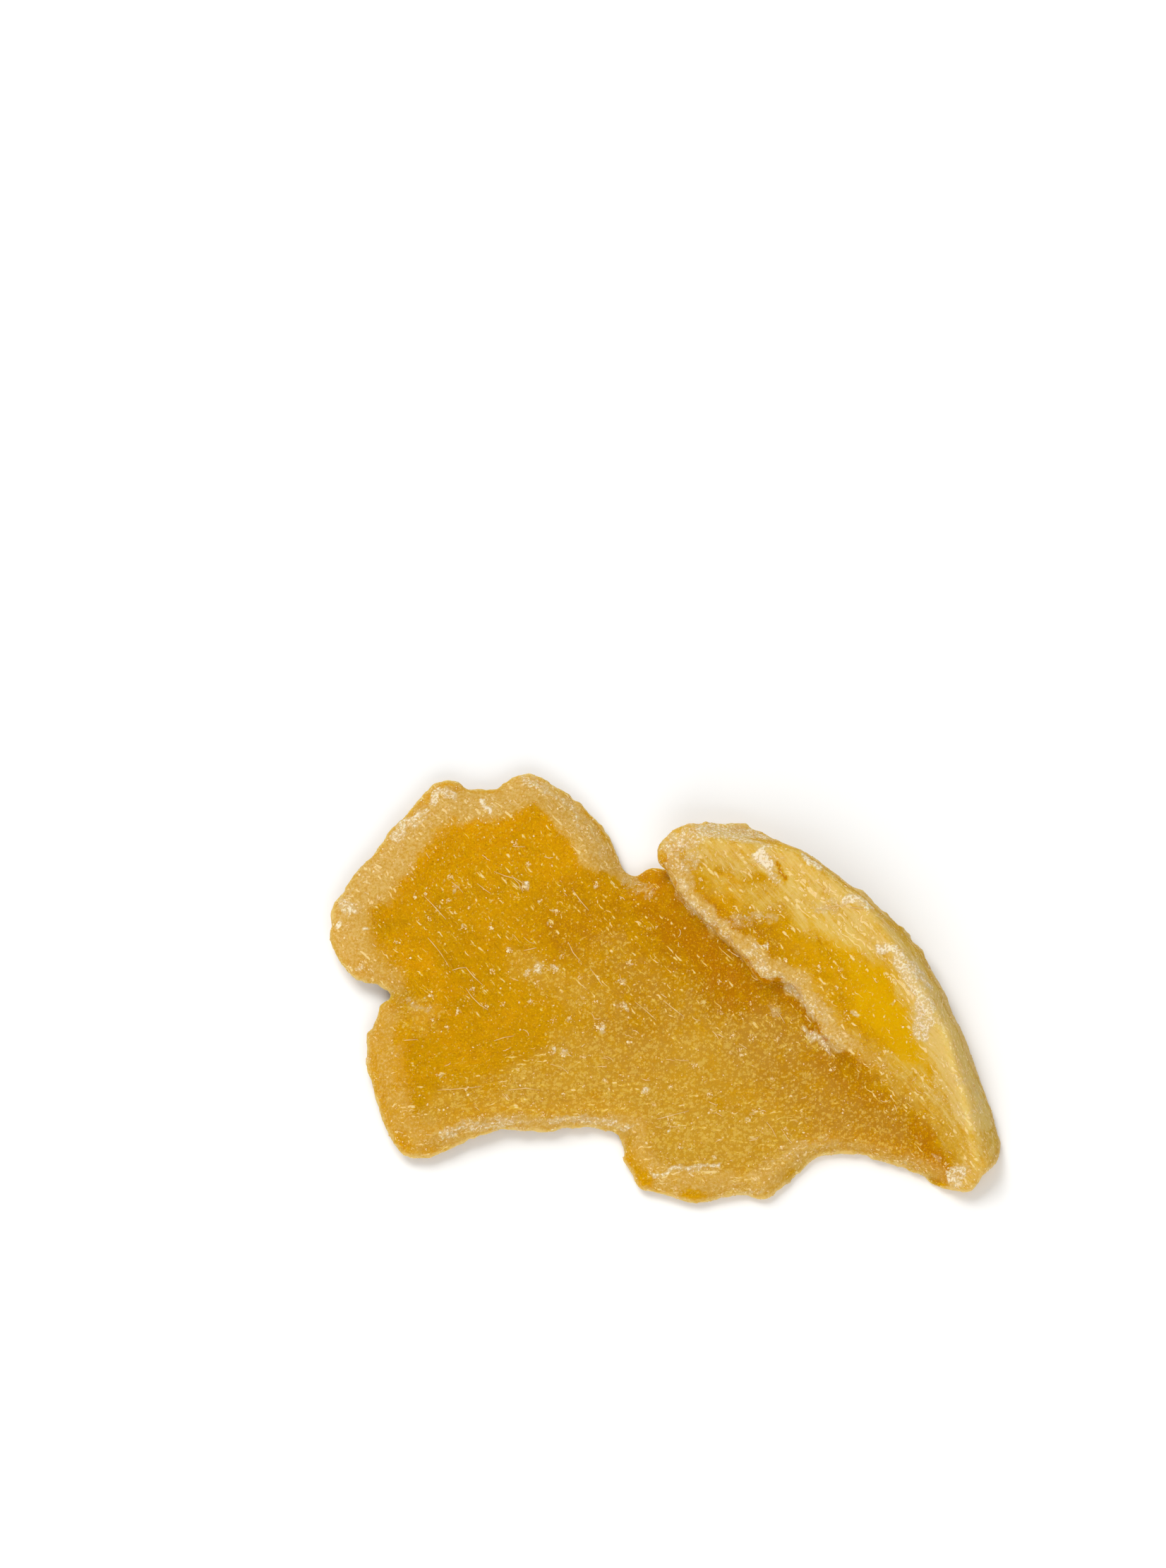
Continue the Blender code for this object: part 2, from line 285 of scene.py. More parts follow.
# %% The pale rim, where the skin was
RIM_STROKES = (
    (0.95, 10, 26, ((757, 1113), (728, 1127), (706, 1140), (661, 1141), (633, 1139))),
    (0.95, 12, 32, ((633, 1139), (607, 1159), (582, 1184), (555, 1221), (530, 1248))),
    (0.90, 16, 42, ((528, 1246), (492, 1275), (488, 1300), (496, 1333))),
    (0.75, 12, 46, ((496, 1333), (512, 1368), (540, 1392))),
    (0.95, 15, 18, ((757, 1113), (780, 1128), (806, 1154), (828, 1186), (848, 1215))),
    (0.85, 6, 14, ((845, 1215), (866, 1228), (890, 1244))),
    (0.60, 8, 44, ((545, 1428), (540, 1480), (552, 1540), (572, 1590), (600, 1614), (625, 1612))),
    (0.80, 6, 16, ((625, 1612), (660, 1603), (700, 1594), (760, 1594), (806, 1591), (870, 1589))),
    (0.70, 5, 22, ((870, 1592), (900, 1590), (915, 1640), (940, 1665))),
    (0.75, 10, 18, ((940, 1672), (1009, 1675), (1050, 1680), (1101, 1655), (1139, 1632))),
    (0.55, 4, 14, ((1139, 1625), (1190, 1621), (1220, 1628), (1280, 1642), (1330, 1662))),
    (0.95, 8, 12, ((958, 1236), (984, 1274), (1010, 1304), (1045, 1330), (1080, 1366), (1112, 1380))),
    (0.95, 8, 12, ((1112, 1380), (1142, 1404), (1162, 1440), (1182, 1466), (1204, 1482))),
    (0.55, 6, 20, ((1204, 1482), (1250, 1508))),
)
rim = painted(RIM_STROKES)

# %% Thick pale sugar, in crusts and smears
CRUST_STROKES = (
    (0.8, 4, 10, ((612, 1134), (628, 1122), (640, 1130))),
    (0.8, 3, 9, ((560, 1187), (580, 1165), (598, 1148))),
    (0.7, 1, 5, ((606, 1156), (594, 1166), (583, 1172))),
    (1.0, 2, 5, ((684, 1139), (697, 1149))),
    (0.45, 4, 14, ((480, 1312), (486, 1276), (520, 1238), (560, 1194), (600, 1144), (625, 1122))),
    (0.50, 5, 13, ((760, 1104), (792, 1128), (818, 1152), (838, 1184), (852, 1208))),
    (0.7, 2, 8, ((745, 1108), (770, 1117), (790, 1130), (805, 1147), (822, 1174))),
    (0.8, 6, 12, ((488, 1280), (502, 1288))),
    (1.0, 2, 5, ((483, 1308), (481, 1315))),
    (1.0, 2, 5, ((521, 1318),)),
    (0.8, 2, 7, ((512, 1368), (508, 1374))),
    (0.6, 5, 14, ((893, 1252), (905, 1260), (921, 1268))),
    (0.6, 3, 10, ((577, 1419), (592, 1424), (609, 1430))),
    (0.8, 3, 7, ((1140, 1460), (1150, 1466), (1162, 1476), (1172, 1486))),
    (0.7, 3, 9, ((960, 1246), (978, 1274), (996, 1298), (1014, 1312), (1040, 1334))),
    (0.7, 3, 9, ((1064, 1352), (1082, 1374), (1110, 1388), (1136, 1406), (1152, 1434))),
    (0.6, 4, 10, ((1100, 1432), (1096, 1438))),
    (0.70, 9, 18, ((950, 1202), (965, 1190), (985, 1182))),
    (0.65, 8, 16, ((955, 1218), (972, 1226), (985, 1212))),
    (0.75, 7, 16, ((995, 1178), (1025, 1174), (1055, 1180), (1085, 1194))),
    (1.0, 5, 9, ((1074, 1212), (1088, 1220))),
    (0.7, 4, 9, ((1088, 1228), (1096, 1246))),
    (0.9, 4, 7, ((1142, 1213), (1165, 1225), (1190, 1240))),
    (0.8, 5, 10, ((1205, 1273), (1230, 1283))),
    (0.6, 5, 12, ((1155, 1288), (1190, 1280))),
    (0.6, 8, 14, ((960, 1262), (985, 1285), (1005, 1303), (1032, 1314))),
    (0.6, 6, 12, ((1045, 1300), (1065, 1302), (1090, 1306))),
    (0.8, 2, 4, ((1069, 1341), (1086, 1345))),
    (0.9, 4, 7, ((1248, 1341), (1266, 1348))),
    (0.8, 7, 12, ((1274, 1360), (1290, 1380), (1303, 1405))),
    (0.8, 9, 12, ((1303, 1405), (1312, 1430), (1310, 1450), (1307, 1463))),
    (0.8, 2, 4, ((1206, 1431), (1219, 1436))),
    (0.6, 6, 12, ((1158, 1425), (1164, 1450), (1176, 1470), (1190, 1480))),
    (0.6, 3, 8, ((1046, 1339), (1059, 1366), (1086, 1381), (1130, 1394))),
    (0.6, 3, 8, ((1130, 1396), (1146, 1418), (1156, 1445))),
    (0.7, 3, 6, ((1356, 1536), (1366, 1534))),
    (0.5, 4, 8, ((1385, 1545), (1390, 1560), (1378, 1575), (1355, 1570))),
    (0.5, 5, 11, ((1318, 1540), (1335, 1560), (1350, 1572))),
    (0.8, 7, 12, ((1348, 1664), (1362, 1666), (1358, 1678))),
    (0.6, 3, 6, ((1325, 1638), (1328, 1645))),
    (0.7, 3, 7, ((774, 1586), (820, 1584), (864, 1586), (890, 1598))),
    (0.5, 3, 7, ((1140, 1620), (1160, 1616), (1193, 1620))),
    (0.5, 4, 9, ((1240, 1640), (1270, 1645), (1300, 1652))),
    (0.8, 2, 7, ((930, 1666), (942, 1660), (975, 1656), (1020, 1654))),
    (0.6, 3, 8, ((1050, 1690), (1084, 1686))),
    (0.7, 3, 10, ((630, 1606), (645, 1600), (690, 1592), (730, 1592))),
    (0.6, 2, 8, ((730, 1592), (806, 1589), (870, 1588), (890, 1592))),
    (0.5, 3, 9, ((1101, 1643), (1139, 1627), (1190, 1621))),
)
# Small heaps of sugar, each at a pixel and with a size in pixels
HEAPS_SEEN = (
    (637, 1243, 5), (646, 1257, 7), (603, 1267, 5), (588, 1271, 4), (634, 1275, 5), (741, 1256, 7),
    (749, 1225, 4), (766, 1277, 4), (656, 1315, 6), (696, 1315, 4), (721, 1348, 7), (780, 1312, 5),
    (795, 1355, 7), (763, 1373, 13), (748, 1380, 9), (784, 1374, 8), (561, 1334, 4), (511, 1368, 7),
    (844, 1253, 5), (788, 1292, 6), (669, 1401, 7), (609, 1410, 5), (884, 1393, 6), (892, 1365, 6),
    (881, 1427, 8), (806, 1443, 7), (850, 1453, 9), (751, 1420, 6), (648, 1435, 5), (689, 1425, 6),
    (632, 1455, 4), (620, 1523, 5), (782, 1490, 6), (798, 1494, 5), (914, 1547, 8), (891, 1478, 5),
    (947, 1593, 6), (1060, 1585, 5), (1012, 1640, 4), (962, 1625, 4), (1020, 1392, 4), (1112, 1360, 4),
    (1190, 1375, 4), (1186, 1400, 4), (1050, 1436, 5), (985, 1510, 5), (660, 1545, 4), (842, 1420, 5),
)
HEAP_STRENGTH = 0.85
HEAP_REACH, HEAP_MARGIN = 0.25, 0.9  # in sizes of the heap
heap_strokes = tuple(
    (HEAP_STRENGTH, HEAP_REACH * size, HEAP_MARGIN * size, ((across, down),))
    for across, down, size in HEAPS_SEEN
)
crust = painted(CRUST_STROKES + heap_strokes)

# %% Sugar film on the body, frost on the finger, and painted shade on the flesh beside it
FILM_STROKES = (
    (0.50, 40, 90, ((1000, 1450), (1080, 1520), (1180, 1590), (1260, 1620))),
    (0.70, 30, 70, ((760, 1560), (880, 1560), (1000, 1620), (1080, 1640))),
    (0.62, 30, 60, ((820, 1510), (890, 1515), (960, 1515), (1060, 1480))),
    (0.36, 30, 90, ((860, 1400), (920, 1450), (1000, 1480))),
    (0.50, 16, 36, ((1075, 1440), (1110, 1460), (1160, 1500))),
    (0.56, 20, 50, ((640, 1580), (760, 1570), (880, 1560))),
    (0.45, 12, 35, ((560, 1425), (600, 1440))),
    (0.50, 12, 30, ((740, 1370), (800, 1400), (870, 1440))),
    (0.45, 10, 40, ((870, 1345), (900, 1380), (930, 1400))),
    (0.08, 60, 90, ((640, 1250), (760, 1320), (840, 1400), (700, 1460), (600, 1500))),
    (0.20, 12, 40, ((1060, 1320), (1110, 1350), (1170, 1400))),
)
film = painted(FILM_STROKES)
FROST_STROKES = (
    (0.70, 22, 36, ((950, 1205), (1000, 1200), (1060, 1208))),
    (0.60, 10, 36, ((965, 1232), (1010, 1256), (1060, 1272), (1100, 1280))),
    (0.50, 6, 24, ((985, 1285), (1020, 1318), (1052, 1342), (1100, 1385))),
    (0.55, 6, 22, ((1130, 1385), (1155, 1410), (1180, 1450), (1228, 1485), (1275, 1515))),
    (0.75, 12, 38, ((1060, 1208), (1100, 1215), (1150, 1245), (1215, 1285), (1265, 1335), (1305, 1390))),
    (0.90, 24, 40, ((1310, 1385), (1335, 1448), (1362, 1510), (1385, 1570))),
    (0.70, 20, 40, ((1385, 1570), (1398, 1630), (1385, 1670))),
    (0.72, 14, 44, ((1120, 1262), (1150, 1288), (1190, 1308), (1240, 1335))),
    (0.62, 6, 30, ((1262, 1354), (1290, 1400), (1306, 1455), (1320, 1500))),
    (0.60, 12, 36, ((1262, 1516), (1300, 1540), (1335, 1580), (1370, 1640))),
)
frost = painted(FROST_STROKES)
# Painted shade: the flesh beside the raised finger is darkened where the finger shades the body.
FINGER_SHADE_STROKES = (
    (0.80, 40, 90, ((1010, 1330), (1080, 1440), (1180, 1530), (1290, 1630))),
    (0.55, 30, 80, ((820, 1310), (900, 1340), (960, 1400), (900, 1460))),
)
finger_shade = painted(FINGER_SHADE_STROKES) * (1 - frost)

# %% Clear flesh with painted glow where light shines through the finger, and deep orange flesh with painted shade in the folds
# Painted glow: the clear flesh of the finger is painted lighter lemon where light shines through it from
# behind.
LEMON_GLOW_STROKES = (
    (0.6, 8, 34, ((1118, 1240), (1140, 1262), (1160, 1284))),
    (0.9, 6, 36, ((1158, 1300), (1180, 1318), (1205, 1345))),
    (0.8, 8, 44, ((1205, 1345), (1245, 1390), (1270, 1430))),
    (1.0, 10, 46, ((1240, 1420), (1270, 1455), (1295, 1490))),
    (0.7, 6, 34, ((1295, 1490), (1310, 1530))),
    (0.4, 10, 70, ((1120, 1330), (1180, 1380), (1240, 1440))),
    (0.4, 26, 50, ((1005, 1240), (1060, 1282), (1120, 1340))),
)
lemon_glow = painted(LEMON_GLOW_STROKES)
# Painted shade: the folds and the crevice under the finger's rim are painted darker orange where shade
# falls; little sugar lies in them.
FOLD_AND_SHADE_STROKES = (
    (0.95, 4, 10, ((985, 1285), (1000, 1300), (1053, 1360), (1084, 1390), (1112, 1399))),
    (0.90, 3, 9, ((1112, 1401), (1140, 1438), (1170, 1474))),
    (0.80, 26, 60, ((940, 1270), (1000, 1320), (1050, 1385))),
    (0.55, 10, 26, ((1172, 1500), (1205, 1526), (1245, 1556))),
    (0.25, 12, 50, ((1230, 1540), (1290, 1590), (1325, 1640))),
    (0.6, 2, 5, ((843, 1553), (851, 1554))),
    (0.8, 7, 20, ((1296, 1596), (1316, 1622), (1334, 1660))),
    (1.0, 1, 4, ((1103, 1226), (1108, 1244))),
    (0.5, 4, 9, ((541, 1418), (560, 1418), (575, 1420))),
    (0.5, 2, 8, ((908, 1242), (925, 1252), (960, 1262))),
)
SHELTERED = 0.8  # the share of the sugar that doesn't get down into the folds
folds_and_shade = painted(FOLD_AND_SHADE_STROKES)
frost = frost * (1 - SHELTERED * folds_and_shade)
film = film * (1 - SHELTERED * folds_and_shade)
AMBER_STROKES = (
    (1.0, 14, 16, ((1032, 1252), (1030, 1280))),
    (0.8, 22, 24, ((1085, 1340), (1130, 1360), (1170, 1395), (1215, 1440))),
    (0.9, 8, 10, ((1100, 1212), (1130, 1220), (1150, 1232))),
    (0.7, 40, 80, ((640, 1230), (720, 1280), (800, 1330), (700, 1400), (600, 1500))),
    (1.0, 26, 60, ((620, 1220), (660, 1200), (740, 1190), (780, 1210))),
    (0.9, 16, 50, ((590, 1260), (580, 1300), (590, 1350))),
)
amber = painted(AMBER_STROKES)
print("painted: rim", round(rim.mean(), 3), "crust", round(crust.mean(), 3))


# %% [markdown]
# The camera sees one side only, and the slice has to be finished all round. The outline gives the
# rule: the pale rim follows the edge of the slice, below as above, and sugar gathers there. The
# steep parts of the skin mark the edge, and each other vertex gets its distance to the nearest of
# them.

# %% Distance to the edge of the slice
STEEP = 0.30  # the skin is steep where its normal's height is below this

edge_spots = places[np.abs(normals[:, 2]) < STEEP]
edge_tree = KDTree(len(edge_spots))
for index, spot in enumerate(edge_spots):
    edge_tree.insert(spot, index)
edge_tree.balance()
to_edge = np.array([edge_tree.find(spot)[2] for spot in places])
print("vertices on the edge:", len(edge_spots))

# %% Rules for the rim and for the sides that the camera doesn't see
RIM_SEEN, RIM_HIDDEN = 1.6, 3.2  # width of the rim in mm, where the camera sees the skin or doesn't
RIM_WANDER, RIM_STRENGTH = 0.25, 0.95
EDGE_WIDTH, EDGE_WANDER = 1.2 * MM, 0.5 * MM
GRIT_START, GRIT_END, GRIT_STRENGTH = 0.1 * MM, 1.0 * MM, 0.55
BLOTCH_STRENGTH = 0.6
SKIN_FROST = 0.6
SKIN_LOW, SKIN_HIGH = 1.0 * MM, 4.0 * MM  # only the skin side of the finger stands as high

hidden = 1 - toward_camera
rim_width = (RIM_SEEN + (RIM_HIDDEN - RIM_SEEN) * hidden) * MM
edge_rim = 1 - ease(to_edge / rim_width + RIM_WANDER * ripple(places, 4 * MM, layer=8), 0, 1)
rim = np.maximum(rim, RIM_STRENGTH * edge_rim * (1 - folds_and_shade))
edge = (1 - folds_and_shade) * (1 - ease(to_edge + EDGE_WANDER * ripple(places, 2 * MM, layer=10), 0, EDGE_WIDTH))
edge_grit = 1 - ease(to_edge, GRIT_START, GRIT_END)
edge_grit = edge_grit * ease(ripple(places, 2.2 * MM, layer=9), -0.3, 0.5)
crust = np.maximum(crust, GRIT_STRENGTH * edge_grit)
blotch = ease(ripple(places, 5 * MM, layer=12), 0.05, 0.55)
film = np.maximum(film, BLOTCH_STRENGTH * hidden * blotch)
skin_side = hidden * ease(places[:, 2], SKIN_LOW, SKIN_HIGH)
frost = np.maximum(frost, SKIN_FROST * skin_side)
print("the rim covers a share of", round(rim.mean(), 2))


# %% [markdown]
# Now the relief. Ginger is full of fibres that run from end to end, so its dried face is ridged
# along them. Over most of the slice they run from the upper left to the lower right, and low on
# the body they turn level. The ridges are noise that is drawn out along the fibres. Sugar adds
# grain on top, most of all on the crusts, and the outline is nibbled by two shorter waves.

# %% Fibre directions
FIBRE_ANGLE = math.radians(-50)
LOW_FIBRE_ANGLE = math.radians(2)
LEVEL_STROKES = ((1.0, 60, 90, ((560, 1590), (760, 1560), (950, 1620), (1100, 1610))),)
level = painted(LEVEL_STROKES)
# Torn, crumbly edges: the finger's left rim and the bottom edge of the body
RAGGED_STROKES = (
    (1.0, 8, 14, ((955, 1240), (985, 1285), (1020, 1320), (1052, 1345), (1075, 1378), (1110, 1392))),
    (1.0, 8, 14, ((1110, 1392), (1135, 1425), (1165, 1465), (1195, 1490))),
    (0.7, 6, 12, ((625, 1612), (700, 1596), (806, 1592), (880, 1596))),
)
ragged = painted(RAGGED_STROKES)


def drawn_out(angle, length, width, layer):
    """Noise drawn out along an angle in plan: length and width are the size of its waves."""
    along = places[:, 0] * math.cos(angle) + places[:, 1] * math.sin(angle)
    across = places[:, 1] * math.cos(angle) - places[:, 0] * math.sin(angle)
    drawn = np.column_stack([along / length, across / width, places[:, 2] / width])
    return ripple(drawn, 1, layer)


BROAD_FIBRE = (8 * MM, 1.6 * MM)  # length and width
FINE_FIBRE = (4 * MM, 0.8 * MM)
BROAD_SHARE, FINE_SHARE = 0.6, 0.4

ridges = drawn_out(FIBRE_ANGLE, *BROAD_FIBRE, layer=3)
fine_ridges = drawn_out(FIBRE_ANGLE, *FINE_FIBRE, layer=4)
low_ridges = drawn_out(LOW_FIBRE_ANGLE, *BROAD_FIBRE, layer=7)
steep_ridges = BROAD_SHARE * ridges + FINE_SHARE * fine_ridges
fibres = (1 - level) * steep_ridges + level * low_ridges

# %% Move the skin
RIDGE = 0.07 * MM
LUMP = 0.05 * MM
CRUST_RISE = 0.09 * MM
SUGAR_GRAIN = 0.14 * MM
NIBBLE = 0.42 * MM
DIP = 0.30 * MM
RIM_SMOOTHS = 0.7  # the share of the fibres' height that is lost on the rim
GRAIN_ALL, GRAIN_RIM, GRAIN_RAGGED = 0.35, 0.3, 0.7  # how grainy the skin is without a crust
DEEP_ENOUGH = 0.6  # a fold dips where it is painted deeper than this
EDGE_BAND = (0.1 * MM, 1.1 * MM)
TABLE_BAND = (0.05 * MM, 0.5 * MM)  # the relief fades out between these heights

lumps = ripple(places, 2.8 * MM, layer=13)
grain = 0.6 * ripple(places, 1.0 * MM, layer=14) + 0.6 * ripple(places, 0.55 * MM, layer=15)
at_edge = 1 - ease(to_edge, *EDGE_BAND)
nibbled = np.maximum(ease(ripple(places, 6 * MM, layer=20), -0.3, 0.4), ragged)
bites = ripple(places, 1.7 * MM, layer=16) + 0.5 * ripple(places, 0.8 * MM, layer=17)
above_table = ease(places[:, 2], *TABLE_BAND)
rise = (
    RIDGE * fibres * (1 - RIM_SMOOTHS * rim)
    + LUMP * lumps
    + crust * (CRUST_RISE + SUGAR_GRAIN * grain)
    + (GRAIN_ALL + GRAIN_RIM * rim + GRAIN_RAGGED * ragged) * SUGAR_GRAIN * grain
    + NIBBLE * (at_edge * nibbled * bites)
    - DIP * np.maximum(folds_and_shade - DEEP_ENOUGH, 0)
)
moved = places + normals * (rise * above_table)[:, None]
moved[:, 2] = np.maximum(moved[:, 2], 0)
ginger.data.vertices.foreach_set("co", moved.ravel())
ginger.data.update()
bpy.ops.object.shade_smooth()
print("relief in mm, from", (rise.min() / MM).round(2), "to", (rise.max() / MM).round(2))

# %% Hand the masks to the material
masks = {
    "rim": rim, "crust": crust, "film": film, "frost": frost, "lemon_glow": lemon_glow, "folds_and_shade": folds_and_shade,
    "finger_shade": finger_shade, "amber": amber, "edge": edge, "level": level,
}
for mask_name, mask in masks.items():
    layer = ginger.data.attributes.new(mask_name, "FLOAT", "POINT")
    layer.data.foreach_set("value", mask.astype(np.float32))


# %% [markdown]
# Candied ginger is flesh soaked in syrup and dried: close to a hard wax, with light going some
# millimetres into it. So the shader is a dielectric with subsurface scattering in which red goes
# furthest and blue hardly at all, which gives the amber its glow. Sugar lies on it as specks, as
# a film and as a crust. It is pale, rough and opaque, so wherever it lies the scattering goes down.
# Patterns come first, each as fine as the real grain measures.

# %% Patterns of the flesh and of the sugar
flesh = bpy.data.materials.new("candied ginger flesh")
flesh.use_nodes = True
tree = flesh.node_tree
shader = tree.nodes["Principled BSDF"]
place = add(tree, "ShaderNodeTexCoord").outputs["Object"]
paint = {
    name: add(tree, "ShaderNodeAttribute", attribute_name=name).outputs["Fac"] for name in masks
}

STRETCH = 8  # fibres are this many times as long as they are wide
fibre_spaces = [place]
for angle in (FIBRE_ANGLE, LOW_FIBRE_ANGLE):
    turned = {"Vector": place, "Rotation": (0, 0, angle), "Scale": (STRETCH, 1, 1)}
    fibre_spaces.append(add(tree, "ShaderNodeMapping", turned, vector_type="TEXTURE").outputs[0])

# name: (size of a patch, detail, roughness, 0 for even, 1 and 2 for drawn out along the fibres)
NOISES = {
    "patches": (7 * MM, 3, 0.5, 0),
    "cloud": (1.8 * MM, 4, 0.6, 0),
    "crumbs": (0.7 * MM, 4, 0.65, 0),
    "powder": (0.34 * MM, 3, 0.7, 0),
    "grit": (0.22 * MM, 2, 0.7, 0),
    "steep streaks": (0.30 * MM, 2, 0.6, 1),
    "level streaks": (0.30 * MM, 2, 0.6, 2),
    "frost streaks": (0.55 * MM, 4, 0.7, 1),
    "slow warp": (2.4 * MM, 2, 0.6, 0),
    "quick warp": (0.35 * MM, 2, 0.6, 0),
}
pattern = {}
for name, (size, detail, rough, space) in NOISES.items():
    wanted = {"Vector": fibre_spaces[space], "Scale": 1 / size, "Detail": detail, "Roughness": rough}
    pattern[name] = add(tree, "ShaderNodeTexNoise", wanted).outputs[0]
ways = {0: paint["level"], 2: pattern["steep streaks"], 3: pattern["level streaks"]}
pattern["streaks"] = add(tree, "ShaderNodeMix", ways, data_type="FLOAT").outputs[0]

# %% Specks: one in each cell of a Voronoi pattern, most of them too small to show
SPECK_FALL = 0.6  # how fast a speck fades away from its middle, in cells
# name: (size of a cell, how far its outline is bent, what bends it, the space it lies in)
SPECKS = {
    "dots": (0.50 * MM, 0.8 * MM, "quick warp", 0),
    "dust": (0.30 * MM, 0.5 * MM, "quick warp", 0),
    "flakes": (1.7 * MM, 1.6 * MM, "quick warp", 0),
    "steep threads": (0.32 * MM, 2.6 * MM, "slow warp", 1),
    "level threads": (0.32 * MM, 2.6 * MM, "slow warp", 2),
}
for name, (size, bend, warp, space) in SPECKS.items():
    middle = (0.5, 0.5, 0.5)
    off = add(tree, "ShaderNodeVectorMath", {0: pattern[warp], 1: middle}, operation="SUBTRACT")
    bent = {0: off.outputs[0], 1: (bend, bend, bend), 2: fibre_spaces[space]}
    bent = add(tree, "ShaderNodeVectorMath", bent, operation="MULTIPLY_ADD").outputs[0]
    cells = add(tree, "ShaderNodeTexVoronoi", {"Vector": bent, "Scale": 1 / size})
    luck = add(tree, "ShaderNodeSeparateColor", {0: cells.outputs["Color"]}).outputs[0]
    fall = {0: cells.outputs["Distance"], 1: -SPECK_FALL, 2: luck}
    pattern[name] = add(tree, "ShaderNodeMath", fall, operation="MULTIPLY_ADD").outputs[0]
ways = {0: paint["level"], 2: pattern["steep threads"], 3: pattern["level threads"]}
pattern["threads"] = add(tree, "ShaderNodeMix", ways, data_type="FLOAT").outputs[0]


# %% [markdown]
# The colour is laid on in coats, as a painter would: the flesh first, then its clear places with painted
# glow and its folds with painted shade, then the sugar from the thinnest film to the thickest crust.
# Each coat is a pattern that a
# painted mask pushes up. The coat shows where the sum is above a level, so its edge is as broken as
# the pattern is.

# %% Coats of colour
# (name, pattern, mask, push of the mask, level where it starts, level where it is full, cover, colour)
# All these colours are set darker than the real ginger's: painted shade, for a face that stands in
# half-shade.
FLESH_COATS = (
    ("light flesh", "patches", "amber", -0.10, 0.42, 0.66, 0.7, "#C69200"),
    ("pale fibres", "streaks", "amber", -0.05, 0.50, 0.68, 0.50, "#D39F00"),
    ("dark fibres", "streaks", "folds_and_shade", 0.00, 0.46, 0.28, 0.45, "#AB6F00"),
    ("clear amber", "cloud", "amber", 0.50, 0.70, 1.05, 0.62, "#D49700"),
    # clear flesh, painted lighter as a glow of light shining through the finger
    ("lemon_glow", "cloud", "lemon_glow", 0.90, 0.60, 1.45, 0.90, "#D9A700"),
    # painted shade: darker flesh where the finger shades the body
    ("finger_shade", "cloud", "finger_shade", 0.60, 0.60, 1.10, 0.75, "#A76900"),
    # deep orange flesh with painted shade in the folds and the crevice
    ("deep orange", "cloud", "folds_and_shade", 0.80, 0.80, 1.30, 0.85, "#B87600"),
    # painted shade: dark specks stand in for the shading in the fine grain's small hollows
    ("grain_shade", "powder", "lemon_glow", 0.15, 0.44, 0.34, 0.45, "#9C6200"),
    ("glints", "grit", "amber", 0.02, 0.54, 0.66, 0.65, "#E1AF00"),
)
SUGAR_COATS = (
    ("veil", "cloud", "film", 0.90, 0.62, 1.20, 0.50, "#C0943A"),
    ("dusting", "dust", "film", 0.60, 0.62, 0.92, 0.54, "#DCB957"),
    ("frost", "cloud", "frost", 0.80, 0.66, 1.25, 0.70, "#D0AB44"),
    ("frost streaks", "frost streaks", "frost", 0.60, 0.80, 1.10, 0.60, "#DEC57C"),
    ("frost wisps", "threads", "frost", 0.24, 0.76, 0.88, 0.68, "#F2E2BC"),
    ("frost grain", "powder", "frost", 0.30, 0.66, 0.90, 0.35, "#E2C280"),
    ("rim", "cloud", "rim", 0.95, 0.75, 1.35, 0.85, "#C5983E"),
    ("rim powder", "powder", "rim", 0.25, 0.60, 0.88, 0.60, "#DCBD78"),
    ("edge", "crumbs", "edge", 0.75, 0.90, 1.48, 0.92, "#E0BC74"),
    ("dots", "dots", "film", 0.10, 0.76, 0.86, 0.75, "#DCB75C"),
    ("threads", "threads", "film", 0.08, 0.64, 0.78, 0.62, "#E2BD4A"),
    ("rim wisps", "threads", "rim", 0.14, 0.72, 0.86, 0.65, "#ECD29C"),
    ("flakes", "flakes", "film", 0.06, 0.88, 0.94, 0.80, "#E0C378"),
    ("crust", "crumbs", "crust", 0.75, 0.80, 1.22, 0.88, "#CEB27A"),
    ("crust powder", "powder", "crust", 0.50, 0.85, 1.00, 0.88, "#F0E2C6"),
)
FLESH_COLOUR = "#C28C00"
skin = colour(FLESH_COLOUR)
cover = 0.0
for coat in FLESH_COATS + SUGAR_COATS:
    name, pattern_name, mask_name, push, start, full, strength, hex_code = coat
    pushed = {0: paint[mask_name], 1: push, 2: pattern[pattern_name]}
    total = add(tree, "ShaderNodeMath", pushed, operation="MULTIPLY_ADD").outputs[0]
    levels = {"Value": total, "From Min": start, "From Max": full, "To Max": strength}
    share = add(tree, "ShaderNodeMapRange", levels, interpolation_type="SMOOTHSTEP", label=name)
    layers = {0: share.outputs[0], 6: skin, 7: colour(hex_code)}
    skin = add(tree, "ShaderNodeMix", layers, data_type="RGBA").outputs[2]
    if coat in SUGAR_COATS:
        thicker = {0: cover, 1: share.outputs[0]}
        cover = add(tree, "ShaderNodeMath", thicker, operation="MAXIMUM").outputs[0]
tree.links.new(skin, shader.inputs["Base Color"])
print("coats of colour:", len(FLESH_COATS) + len(SUGAR_COATS))

# %% Roughness, scattering and fine bump
SUGAR_HEIGHT, STREAK_HEIGHT = 0.6, 0.5  # against the powder's height of 1

